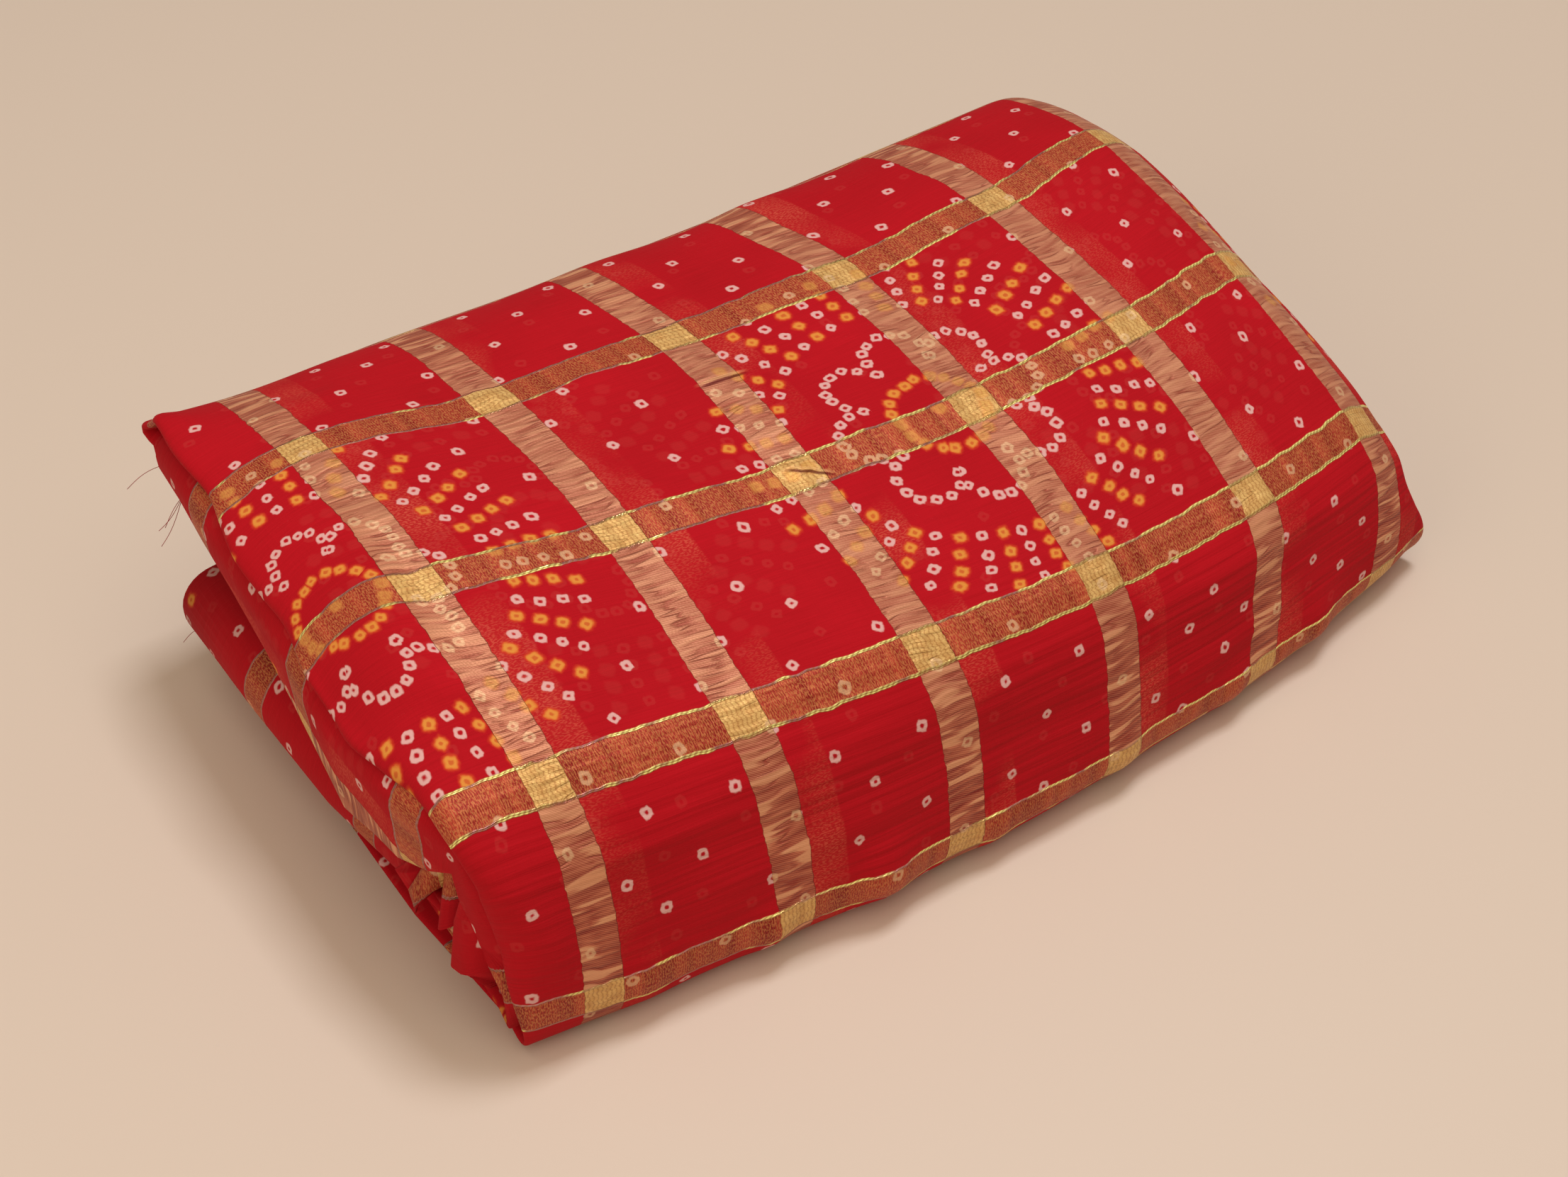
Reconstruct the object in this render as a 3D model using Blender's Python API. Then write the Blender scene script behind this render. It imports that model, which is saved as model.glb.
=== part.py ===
# A long tie-dyed cloth, folded back and forth into a strip and then over once more, like a book.
#
# The closed side of the book fold is the front (-Y): there every layer wraps round the one inside it.
# The open side is the back (+Y), where the strip turns from each layer into the next. X runs along
# the bundle. Its left and right ends show the layers one above the other, none of them flush.
# One layer here stands for about three of the real, hair-thin ones. Sizes are in metres, +Z is up.

import math
from collections import namedtuple

import bmesh
import bpy

MM = 0.001

# How many times the strip lies inside itself, and how much of a layer's room is cloth, not air.
FOLDS = 10
CLOTH_SHARE = 0.62
END_SHARE = 0.26

# The gap left at the book fold's middle, as a share of the depth, and how it opens at the back left.
CLEFT = 0.03
OPEN_CLEFT = 0.13
CLEFT_REACH = 75 * MM
CLEFT_ROUND = 2.4

# The bundle's ends along X, and how far the front fold's centre lies behind the front face.
LEFT_END = -198 * MM
RIGHT_END = 199 * MM
FRONT_DEPTH = 55 * MM

# The middle of the finished bundle's box, which is where the origin goes.
MIDDLE_X = -0.06 * MM
MIDDLE_Y = 2.47 * MM

# The woven check repeats every 70 mm along the bundle and 74.5 mm round it. Girth is counted in
# checks from the first band of the top, backwards to the fold and forwards over the front.
CHECK_ROUND = 74.5 * MM
BACK_FOLD = -1.15
CREST = 0.0
BROW = 1.0
FRONT_EDGE = 2.0
FRONT_CENTRE = 2.75
FRONT_FOOT = 3.2
UNDER_EDGE = 3.5
BACK_FOOT = 6.2

# The outer face at mid length, from the back fold over the crown, down the front and back under.
Point = namedtuple("Point", "girth y z")
OUTLINE = (
    Point(-1.30, 124.0, 95.0),
    Point(-1.15, 119.5, 102.5),
    Point(-0.85, 106.0, 113.0),
    Point(-0.50, 84.0, 119.5),
    Point(0.00, 49.0, 122.5),
    Point(0.50, 11.5, 119.0),
    Point(1.00, -25.0, 112.0),
    Point(1.50, -60.0, 100.5),
    Point(2.00, -92.0, 86.0),
    Point(2.25, -105.5, 72.5),
    Point(2.50, -110.5, 54.5),
    Point(2.75, -115.0, 35.5),
    Point(3.00, -117.0, 17.0),
    Point(3.20, -112.5, 5.0),
    Point(3.40, -101.5, 0.8),
    Point(3.60, -88.0, 0.0),
    Point(6.20, 108.0, 0.0),
    Point(6.40, 123.0, 0.0),
)

# How much the top stands higher (+) or lower than mid length, and how far the front bows inwards.
# The bow is whole round the front and fades to a third of itself over the back.
BOW_FROM = 1.5
BOW_FADE = 2.4
BOW_BACK = 0.3
Station = namedtuple("Station", "x back crown brow front bow")
STATIONS = (
    Station(-202.0, 13.0, 9.0, 13.0, 17.0, 16.0),
    Station(-164.0, 9.0, 8.5, 14.5, 16.0, 10.8),
    Station(-98.0, 3.8, 3.0, 8.0, 12.0, 1.5),
    Station(-34.0, 1.0, 1.0, 3.0, 7.0, -5.0),
    Station(38.0, -1.0, -1.0, -1.5, -1.0, -7.0),
    Station(111.0, -2.0, -2.0, -3.5, -6.0, -4.5),
    Station(179.0, -4.5, -4.5, -12.5, -13.5, 4.5),
    Station(200.0, -7.0, -7.0, -15.0, -15.0, 9.0),
)

# At the two ends, by girth: how far in from the bundle's end the layers stop, and how far they droop.
End = namedtuple("End", "girth left_in left_droop right_in right_droop")
ENDS = (
    End(-1.30, 8.5, 1.0, 1.0, 10.0),
    End(-0.60, 6.0, 5.0, -1.5, 14.0),
    End(0.00, 2.5, 11.0, -1.0, 17.0),
    End(1.00, 0.0, 23.0, 0.0, 20.0),
    End(1.50, 1.0, 12.0, 2.5, 18.0),
    End(2.00, 3.5, 1.0, 5.0, 14.0),
    End(2.50, 4.0, 0.0, 1.5, 3.0),
    End(3.00, 0.0, 0.0, -2.5, 0.0),
    End(3.60, 0.0, 0.0, 0.0, 0.0),
    End(6.20, 0.0, 0.0, 0.0, 0.0),
)
LEFT_ROLL = 38 * MM
RIGHT_ROLL = 30 * MM

# Where each layer ends, outermost first: out past the bundle's end (+) or back from it (-).
# Layers joined by a fold at the back share that edge.
Layer = namedtuple("Layer", "left_top left_foot right_top right_foot back_top back_foot")
LAYERS = (
    Layer(0.0, -11.0, 0.0, 0.0, 0.0, -3.0),
    Layer(1.5, -9.0, -3.0, -4.0, 0.0, 3.0),
    Layer(-4.0, -10.0, -6.0, -2.0, -5.0, 3.0),
    Layer(-0.5, -6.0, -2.0, -5.0, -5.0, -2.0),
    Layer(-7.0, -7.5, -5.0, -3.0, 2.0, -2.0),
    Layer(-4.0, -4.0, -1.0, -6.0, 2.0, 4.0),
    Layer(-9.0, -2.5, -4.0, -1.0, -7.0, 4.0),
    Layer(-5.5, -5.5, -7.0, -4.0, -7.0, 0.0),
    Layer(-8.0, -3.0, -3.0, -2.0, -3.0, 0.0),
    Layer(-4.0, -6.0, -5.0, -5.0, -3.0, -4.0),
)
# The layers' ends also waver, by this much, in radians for each check of girth and for each layer.
EDGE_WAVE = 1.8 * MM
WAVE_ROUND = 2.3
WAVE_LAYER = 1.9
WAVE_START = {"left": 4.0, "right": 5.0}
END_FADE = 45 * MM
BACK_FADE = 1.1

# Where the solid is sampled: round the girth, and along X as distances in from either end.
OUTER_GIRTHS = (-1.15, -1.0, -0.8, -0.4, 0.3, 1.0, 1.6, 2.0, 2.25, 2.6, 2.95, 3.15, 3.4, 3.6, 4.8, 6.2)
INNER_GIRTHS = (-1.15, -1.0, -0.8, -0.4, 0.3, 1.0, 1.6, 2.0, 2.4, 2.8, 3.2, 3.6, 4.8, 6.2)
OUTER_LAYERS = 4
TURN_STEPS = 4
END_STEPS = (0.0, 2.2 * MM, 11 * MM, 21 * MM, 36 * MM)
MIDDLE_STEPS = (-104 * MM, -34 * MM, 38 * MM, 108 * MM)
SHARP_ANGLE = math.radians(50)


def smooth(rows, key, place, column):
    """One named column of a table, read at a place between its rows on a smooth curve."""
    places = [getattr(row, key) for row in rows]
    values = [getattr(row, column) for row in rows]
    last = len(rows) - 1
    if place <= places[0]:
        return values[0]
    if place >= places[last]:
        return values[last]
    at = max(index for index in range(last) if places[index] <= place)
    span = places[at + 1] - places[at]
    part = (place - places[at]) / span

    def slope(index):
        before, after = max(index - 1, 0), min(index + 1, last)
        return (values[after] - values[before]) / (places[after] - places[before])

    start, end = values[at], values[at + 1]
    rise_start, rise_end = slope(at) * span, slope(at + 1) * span
    curve = (2 * part**3 - 3 * part**2 + 1) * start + (part**3 - 2 * part**2 + part) * rise_start
    return curve + (3 * part**2 - 2 * part**3) * end + (part**3 - part**2) * rise_end


def fade(distance, reach):
    """1 at an edge, falling softly to 0 at the given reach from it."""
    return max(0.0, 1.0 - max(distance, 0.0) / reach) ** 2


def lift(girth, x):
    """How much the outer face stands above its mid-length height at this girth and X."""
    back, crown, brow, front = (
        smooth(STATIONS, "x", x / MM, name) for name in ("back", "crown", "brow", "front")
    )
    if girth <= CREST:
        return crown + (back - crown) * min(CREST - girth, 1.0)
    if girth <= BROW:
        return crown + (brow - crown) * (girth - CREST) / (BROW - CREST)
    if girth <= FRONT_EDGE:
        return brow + (front - brow) * (girth - BROW) / (FRONT_EDGE - BROW)
    return front * max(0.0, (FRONT_FOOT - girth) / (FRONT_FOOT - FRONT_EDGE))


def outer_face(girth, x):
    """The outermost face of the bundle: Y and Z at this girth and X."""
    y = smooth(OUTLINE, "girth", girth, "y")
    z = smooth(OUTLINE, "girth", girth, "z") + lift(girth, x)
    z -= smooth(ENDS, "girth", girth, "left_droop") * fade(x - LEFT_END, LEFT_ROLL)
    z -= smooth(ENDS, "girth", girth, "right_droop") * fade(RIGHT_END - x, RIGHT_ROLL)
    z = max(z, 0.0)
    past_front = max(BOW_FROM - girth, girth - UNDER_EDGE, 0.0)
    bow_share = BOW_BACK + (1 - BOW_BACK) * fade(past_front, BOW_FADE)
    bow = smooth(STATIONS, "x", x / MM, "bow") * bow_share
    return (y + bow) * MM, z * MM


def top_height(y, x):
    """Height of the bundle's top over a place in Y."""
    rows = [outer_face(point.girth, x) for point in OUTLINE if point.girth <= FRONT_EDGE]
    if y >= rows[0][0]:
        return rows[0][1]
    for (far_y, far_z), (near_y, near_z) in zip(rows, rows[1:]):
        if y >= near_y:
            return near_z + (far_z - near_z) * (y - near_y) / (far_y - near_y)
    return rows[-1][1]


def cloth_point(girth, depth, x):
    """A point inside the bundle: depth runs from 0 at the outer face to 1 at the book fold's middle."""
    y, z = outer_face(girth, x)
    front_y = outer_face(FRONT_CENTRE, x)[0]
    middle_y = max(y, front_y + FRONT_DEPTH)
    middle_z = top_height(middle_y, x) / 2
    return y + (middle_y - y) * depth, z + (middle_z - z) * depth


# A place on the strip: the layer whose edges it follows, its girth, its level in layers from the
# outer face, its reach past the back edge in layers, and the way to its first face.
Place = namedtuple("Place", "layer girth level reach up out")


def strip_places():
    """The whole strip from its loose end under the bundle, back and forth to its inner end."""
    places = []
    for layer in range(FOLDS):
        girths = OUTER_GIRTHS if layer < OUTER_LAYERS else INNER_GIRTHS
        upward = layer % 2 == 0
        way = -1 if upward else 1
        for girth in reversed(girths) if upward else girths:
            places.append(Place(layer, girth, layer + 0.5, 0.0, way, 0.0))
        if layer == FOLDS - 1:
            break
        turn_girth = BACK_FOLD if upward else BACK_FOOT
        for step in range(1, TURN_STEPS):
            angle = math.pi * step / TURN_STEPS
            part = (1 - math.cos(angle)) / 2
            outside = 1 if upward else -1
            up, out = way * math.cos(angle), outside * math.sin(angle)
            level = layer + 1 + outside * 0.5 * up
            places.append(Place(layer + part, turn_girth, level, 0.5 * abs(out), up, out))
    return places


def layer_edge(layer, column):
    """A column of the layer table, blended where a fold joins two layers."""
    low = int(layer)
    high = min(low + 1, FOLDS - 1)
    start, end = getattr(LAYERS[low], column), getattr(LAYERS[high], column)
    return (start + (end - start) * (layer - low)) * MM


def end_offset(place, side):
    """How far this layer's left or right end stands past the bundle's, top and foot blended."""
    foot = min(max((place.girth - FRONT_EDGE) / (UNDER_EDGE - FRONT_EDGE), 0.0), 1.0)
    top = layer_edge(place.layer, side + "_top")
    low = layer_edge(place.layer, side + "_foot")
    turn = place.girth * WAVE_ROUND + place.layer * WAVE_LAYER + WAVE_START[side]
    wave = EDGE_WAVE * math.sin(turn)
    return top + (low - top) * foot + wave - smooth(ENDS, "girth", place.girth, side + "_in") * MM


def corner(place, face, station, share):
    """The XYZ of one face of the strip at one station along the bundle."""
    x = station
    x -= end_offset(place, "left") * fade(station - LEFT_END, END_FADE)
    x += end_offset(place, "right") * fade(RIGHT_END - station, END_FADE)
    girth = place.girth
    girth -= layer_edge(place.layer, "back_top") / CHECK_ROUND * fade(place.girth - BACK_FOLD, BACK_FADE)
    girth += layer_edge(place.layer, "back_foot") / CHECK_ROUND * fade(BACK_FOOT - place.girth, BACK_FADE)
    level = place.level + face * place.up * share / 2
    open_cleft = OPEN_CLEFT * fade(station - LEFT_END, CLEFT_REACH)
    open_cleft *= fade(place.girth - BACK_FOLD, CLEFT_ROUND) + fade(BACK_FOOT - place.girth, CLEFT_ROUND)
    depth = (level - (1 - CLOTH_SHARE) / 2) / FOLDS * (1 - CLEFT - open_cleft)
    y, z = cloth_point(girth, depth, x)
    pitch = top_height(y, x) / 2 / FOLDS
    y += (place.reach + face * place.out * share / 2) * pitch
    return x - MIDDLE_X, y - MIDDLE_Y, z


def stations():
    """X of every station, and how much of a layer's room the cloth fills there."""
    left = [(LEFT_END + step, CLOTH_SHARE if step else END_SHARE) for step in END_STEPS]
    right = [(RIGHT_END - step, CLOTH_SHARE if step else END_SHARE) for step in END_STEPS]
    return left + [(x, CLOTH_SHARE) for x in MIDDLE_STEPS] + right[::-1]


def folded_strip():
    """The section of the strip as a ribbon of faces, extruded from the left end to the right."""
    places = strip_places()
    first, *others = stations()
    mesh = bmesh.new()
    key = mesh.verts.layers.int.new("corner")
    rungs = []
    for index, place in enumerate(places):
        rung = []
        for face in (1, -1):
            vertex = mesh.verts.new(corner(place, face, *first))
            vertex[key] = 2 * index + (face < 0)
            rung.append(vertex)
        rungs.append(rung)
    section = [mesh.faces.new((a[0], a[1], b[1], b[0])) for a, b in zip(rungs, rungs[1:])]
    for station, share in others:
        passed = [] if station == others[0][0] else section
        grown = bmesh.ops.extrude_face_region(mesh, geom=section)["geom"]
        bmesh.ops.delete(mesh, geom=passed, context="FACES")
        section = [item for item in grown if isinstance(item, bmesh.types.BMFace)]
        for vertex in (item for item in grown if isinstance(item, bmesh.types.BMVert)):
            index, second = divmod(vertex[key], 2)
            vertex.co = corner(places[index], -1 if second else 1, station, share)
    bmesh.ops.recalc_face_normals(mesh, faces=mesh.faces[:])
    return mesh


def cloth_material():
    """Deep red georgette."""
    material = bpy.data.materials.new("bandhani_georgette")
    material.use_nodes = True
    shader = material.node_tree.nodes["Principled BSDF"]
    shader.inputs["Base Color"].default_value = (0.52, 0.012, 0.028, 1.0)
    shader.inputs["Roughness"].default_value = 0.7
    shader.inputs["Metallic"].default_value = 0.0
    return material


def add_object(name, mesh, material):
    """A named object from a finished bmesh."""
    data = bpy.data.meshes.new(name)
    mesh.to_mesh(data)
    mesh.free()
    data.shade_smooth()
    data.set_sharp_from_angle(angle=SHARP_ANGLE)
    data.materials.append(material)
    piece = bpy.data.objects.new(name, data)
    bpy.context.scene.collection.objects.link(piece)
    return piece


for leftover in list(bpy.data.objects):
    bpy.data.objects.remove(leftover, do_unlink=True)

add_object("folded_cloth", folded_strip(), cloth_material())
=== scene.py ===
# %% [markdown]
# # A folded bandhani cloth
# This script dresses a folded cloth. The cloth is a long length of sheer crimson georgette with a
# woven check of metallic thread, tied and dyed into small rings, folded back and forth and then over
# like a book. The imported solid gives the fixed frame, in metres, with +Z up.

import math
from collections import namedtuple

import bmesh
import bpy
import numpy as np
from mathutils import Matrix, Vector, noise


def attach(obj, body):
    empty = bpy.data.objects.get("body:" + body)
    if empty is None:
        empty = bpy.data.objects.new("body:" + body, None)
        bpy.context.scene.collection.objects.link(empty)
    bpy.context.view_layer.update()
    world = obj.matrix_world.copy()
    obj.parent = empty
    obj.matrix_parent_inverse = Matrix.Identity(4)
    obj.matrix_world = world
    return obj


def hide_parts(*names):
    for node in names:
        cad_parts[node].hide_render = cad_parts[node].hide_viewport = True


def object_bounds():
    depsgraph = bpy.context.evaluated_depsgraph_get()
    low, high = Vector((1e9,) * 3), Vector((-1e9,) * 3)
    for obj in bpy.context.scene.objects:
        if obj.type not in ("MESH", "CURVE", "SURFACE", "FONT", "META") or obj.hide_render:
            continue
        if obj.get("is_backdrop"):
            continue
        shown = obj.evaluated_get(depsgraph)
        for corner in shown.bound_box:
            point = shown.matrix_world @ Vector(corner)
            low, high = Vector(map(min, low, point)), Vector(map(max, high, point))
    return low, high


MM = 0.001
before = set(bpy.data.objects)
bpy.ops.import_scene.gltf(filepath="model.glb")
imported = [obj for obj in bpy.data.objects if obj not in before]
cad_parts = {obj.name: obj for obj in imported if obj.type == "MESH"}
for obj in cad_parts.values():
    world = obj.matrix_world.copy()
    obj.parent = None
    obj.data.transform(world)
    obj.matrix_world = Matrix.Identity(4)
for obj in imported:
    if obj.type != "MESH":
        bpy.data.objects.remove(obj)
cad_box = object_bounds()
print("CAD box", [[round(value / MM, 1) for value in corner] for corner in cad_box])

# %% [markdown]
# ## The camera
# The crossings of the woven check lie on a known grid, so their places in the photograph give the
# camera: its lens, its distance and the three turns. The camera looks down on the closed front of the
# book fold and the left end.

# %% The camera
PHOTO_WIDTH = 2212
FOCAL_PIXELS = 3300
SENSOR_WIDTH = 36.0
CAMERA_PLACE = Vector((-0.37788, -0.48624, 0.61952))
CAMERA_AZIMUTH = math.radians(-36.773)
CAMERA_ELEVATION = math.radians(44.267)
CAMERA_ROLL = math.radians(0.459)


def add_camera():
    """The camera at the photograph's place, turned and rolled as it was."""
    sine, cosine, flat = math.sin(CAMERA_AZIMUTH), math.cos(CAMERA_AZIMUTH), math.cos(CAMERA_ELEVATION)
    back = Vector((sine * flat, -cosine * flat, math.sin(CAMERA_ELEVATION)))
    level_right = Vector((cosine, sine, 0.0))
    level_up = back.cross(level_right)
    right = level_right * math.cos(CAMERA_ROLL) + level_up * math.sin(CAMERA_ROLL)
    up = back.cross(right)
    camera = bpy.data.objects.new("camera", bpy.data.cameras.new("camera"))
    camera.data.sensor_width = SENSOR_WIDTH
    camera.data.lens = FOCAL_PIXELS / PHOTO_WIDTH * SENSOR_WIDTH
    camera.data.clip_start, camera.data.clip_end = 0.01, 20.0
    camera.matrix_world = Matrix.Translation(CAMERA_PLACE) @ Matrix((right, up, back)).transposed().to_4x4()
    bpy.context.scene.collection.objects.link(camera)
    bpy.context.scene.camera = camera
    return camera


camera = add_camera()
print(f"lens {camera.data.lens:.2f} mm")

# %% [markdown]
# ## The folds
# The real bundle is one strip laid back and forth. Its solid was worked out from a few short tables,
# and the sheet here follows the same ones, so that it lies on the solid's own folds. Girth is counted
# in checks of the weave, from the first band on the top: back to the fold at -1.15, and forwards over
# the closed front and under.

# %% The tables of the folds
LEFT_END = -198 * MM
RIGHT_END = 199 * MM
MIDDLE = Vector((-0.06, 2.47, 0.0)) * MM
FRONT_DEPTH = 55 * MM
CHECK_ROUND = 74.5 * MM
CHECK_ALONG = 70.0 * MM
FOLDS = 10
CLEFT = 0.03
OPEN_CLEFT = 0.13
CLEFT_REACH = 75 * MM
CLEFT_ROUND = 2.4
BACK_FOLD = -1.15
CREST, BROW, FRONT_EDGE, FRONT_CENTRE, FRONT_FOOT, UNDER_EDGE, BACK_FOOT = 0.0, 1.0, 2.0, 2.75, 3.2, 3.5, 6.2
BOW_FROM, BOW_FADE, BOW_BACK = 1.5, 2.4, 0.3
LEFT_ROLL = 38 * MM
RIGHT_ROLL = 30 * MM
END_FADE = 45 * MM
BACK_FADE = 1.1

# The outer face at mid length, in millimetres.
Point = namedtuple("Point", "girth y z")
OUTLINE = (
    Point(-1.30, 124.0, 95.0),
    Point(-1.15, 119.5, 102.5),
    Point(-0.85, 106.0, 113.0),
    Point(-0.50, 84.0, 119.5),
    Point(0.00, 49.0, 122.5),
    Point(0.50, 11.5, 119.0),
    Point(1.00, -25.0, 112.0),
    Point(1.50, -60.0, 100.5),
    Point(2.00, -92.0, 86.0),
    Point(2.25, -105.5, 72.5),
    Point(2.50, -110.5, 54.5),
    Point(2.75, -115.0, 35.5),
    Point(3.00, -117.0, 17.0),
    Point(3.20, -112.5, 5.0),
    Point(3.40, -101.5, 0.8),
    Point(3.60, -88.0, 0.0),
    Point(6.20, 108.0, 0.0),
    Point(6.40, 123.0, 0.0),
)

# How much the top stands higher or lower along the bundle, and how far the front bows inwards.
Station = namedtuple("Station", "x back crown brow front bow")
STATIONS = (
    Station(-202.0, 13.0, 9.0, 13.0, 17.0, 16.0),
    Station(-164.0, 4.5, 8.0, 14.5, 16.0, 10.8),
    Station(-98.0, 3.8, 3.0, 8.0, 12.0, 1.5),
    Station(-34.0, 1.0, 1.0, 3.0, 7.0, -5.0),
    Station(38.0, -1.0, -1.0, -1.5, -1.0, -7.0),
    Station(111.0, -2.0, -2.0, -3.5, -6.0, -4.5),
    Station(179.0, -4.5, -4.5, -12.5, -13.5, 4.5),
    Station(200.0, -7.0, -7.0, -15.0, -15.0, 9.0),
)

# How far in from the bundle's two ends the layers stop, and how far they droop there.
End = namedtuple("End", "girth left_in left_droop right_in right_droop")
ENDS = (
    End(-1.30, 8.5, 1.0, 1.0, 10.0),
    End(-0.60, 6.0, 5.0, -1.5, 14.0),
    End(0.00, 2.5, 11.0, -1.0, 17.0),
    End(1.00, 0.0, 23.0, 0.0, 20.0),
    End(1.50, 1.0, 12.0, 4.5, 18.0),
    End(2.00, 3.5, 1.0, 7.0, 14.0),
    End(2.50, 4.0, 0.0, 2.5, 3.0),
    End(3.00, 0.0, 0.0, -9.0, 0.0),
    End(3.60, 0.0, 0.0, 0.0, 0.0),
    End(6.20, 0.0, 0.0, 0.0, 0.0),
)

# Where each layer ends, outermost first, past the bundle's end (+) or back from it (-).
Layer = namedtuple("Layer", "left_top left_foot right_top right_foot back_top back_foot")
LAYERS = (
    Layer(0.0, -11.0, 0.0, 0.0, 0.0, -3.0),
    Layer(1.5, -9.0, -3.0, -4.0, 0.0, 3.0),
    Layer(-4.0, -10.0, -6.0, -2.0, -5.0, 3.0),
    Layer(-0.5, -6.0, -2.0, -5.0, -5.0, -2.0),
    Layer(-7.0, -7.5, -5.0, -3.0, 2.0, -2.0),
    Layer(-4.0, -4.0, -1.0, -6.0, 2.0, 4.0),
    Layer(-9.0, -2.5, -4.0, -1.0, -7.0, 4.0),
    Layer(-5.5, -5.5, -7.0, -4.0, -7.0, 0.0),
    Layer(-8.0, -3.0, -3.0, -2.0, -3.0, 0.0),
    Layer(-4.0, -6.0, -5.0, -5.0, -3.0, -4.0),
)
print(f"{FOLDS} layers above and {FOLDS} below the middle of the book fold")


# %% Reading the tables
def smooth(rows, key, places, column):
    """A named column of a table, read at many places at once on a smooth curve."""
    known = np.array([getattr(row, key) for row in rows], float)
    values = np.array([getattr(row, column) for row in rows], float)
    last = len(rows) - 1
    before, after = np.maximum(np.arange(last + 1) - 1, 0), np.minimum(np.arange(last + 1) + 1, last)
    slopes = (values[after] - values[before]) / (known[after] - known[before])
    places = np.clip(places, known[0], known[-1])
    at = np.clip(np.searchsorted(known, places, side="right") - 1, 0, last - 1)
    span = known[at + 1] - known[at]
    part = (places - known[at]) / span
    curve = (2 * part**3 - 3 * part**2 + 1) * values[at] + (part**3 - 2 * part**2 + part) * slopes[at] * span
    return curve + (3 * part**2 - 2 * part**3) * values[at + 1] + (part**3 - part**2) * slopes[at + 1] * span


def fade(distance, reach):
    """1 at an edge, falling softly to 0 at the given reach from it."""
    return np.maximum(0.0, 1.0 - np.maximum(distance, 0.0) / reach) ** 2


def lift(girth, x):
    """How much the outer face stands above its mid-length height."""
    back, crown, brow, front = (smooth(STATIONS, "x", x / MM, name) for name in Station._fields[1:5])
    rise = crown + (back - crown) * np.clip(CREST - girth, 0.0, 1.0)
    rise = rise + (brow - crown) * np.clip((girth - CREST) / (BROW - CREST), 0.0, 1.0)
    rise = rise + (front - brow) * np.clip((girth - BROW) / (FRONT_EDGE - BROW), 0.0, 1.0)
    return rise * np.clip((FRONT_FOOT - girth) / (FRONT_FOOT - FRONT_EDGE), 0.0, 1.0)


def outer_face(girth, x):
    """The outermost face of the bundle: Y and Z at this girth and X."""
    y = smooth(OUTLINE, "girth", girth, "y")
    z = smooth(OUTLINE, "girth", girth, "z") + lift(girth, x)
    z = z - smooth(ENDS, "girth", girth, "left_droop") * fade(x - LEFT_END, LEFT_ROLL)
    z = z - smooth(ENDS, "girth", girth, "right_droop") * fade(RIGHT_END - x, RIGHT_ROLL)
    past_front = np.maximum(np.maximum(BOW_FROM - girth, girth - UNDER_EDGE), 0.0)
    bow = smooth(STATIONS, "x", x / MM, "bow") * (BOW_BACK + (1 - BOW_BACK) * fade(past_front, BOW_FADE))
    return (y + bow) * MM, np.maximum(z, 0.0) * MM


def top_height(y, x):
    """Height of the bundle's top over a place in Y."""
    rows = [outer_face(np.full_like(x, point.girth), x) for point in OUTLINE if point.girth <= FRONT_EDGE]
    height = rows[0][1].copy()
    for (far_y, far_z), (near_y, near_z) in zip(rows, rows[1:]):
        part = np.clip((y - near_y) / (far_y - near_y), 0.0, 1.0)
        height = np.where(y < far_y, near_z + (far_z - near_z) * part, height)
    return height


def cloth_point(girth, depth, x):
    """A point inside the bundle: depth runs from 0 at the outer face to 1 at the book fold's middle."""
    y, z = outer_face(girth, x)
    front_y = outer_face(np.full_like(x, FRONT_CENTRE), x)[0]
    middle_y = np.maximum(y, front_y + FRONT_DEPTH)
    middle_z = top_height(middle_y, x) / 2
    return y + (middle_y - y) * depth, z + (middle_z - z) * depth


def layer_column(layer, column):
    """A column of the layer table, blended where a fold joins two layers."""
    return np.interp(layer, range(FOLDS), [getattr(row, column) for row in LAYERS]) * MM


print("top over the middle", round(float(top_height(np.zeros(1), np.zeros(1))[0]) / MM, 1), "mm")

# %% [markdown]
# ## The places of the sheet
# The sheet is one long grid: its rows are places along the strip, and its columns are stations along
# the bundle. The outermost layer is what the eye sees, so it has a row every 3 mm, and the layers
# inside it only need enough for their ends. Near both ends the stations crowd together as on a
# quarter circle, which turns each end into a soft, rounded lip once the sheet has its thickness.

# %% Rows along the strip, stations along the bundle
FINE_STEP = 0.04
UNDER_STEPS = 8
SIDE_STEPS = (24, 24, 24, 16, 16, 16, 16, 16, 16)
SIDE_SHARES, SIDE_GIRTHS = (0.0, 0.2, 0.75, 1.0), (BACK_FOLD, 0.2, UNDER_EDGE, BACK_FOOT)
TURN_STEPS = 4
LIP_RADIUS = 2.4 * MM
LIP_STEPS, LIP_THINNEST = 5, 0.1
STATION_STEP = 3.35 * MM
ROLL_ZONE, ROLL_STEP = 45 * MM, 1.7 * MM
FILL = 0.80
FULL_THICKNESS = 4.9 * MM

Place = namedtuple("Place", "layer girth level reach")


def layer_girths(layer):
    """The girths at which one layer is sampled, from the back fold round to the foot."""
    if layer == 0:
        seen = np.arange(BACK_FOLD, UNDER_EDGE, FINE_STEP)
        return np.concatenate([seen, np.linspace(UNDER_EDGE, BACK_FOOT, UNDER_STEPS)])
    return np.interp(np.linspace(0.0, 1.0, SIDE_STEPS[layer - 1]), SIDE_SHARES, SIDE_GIRTHS)


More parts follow.
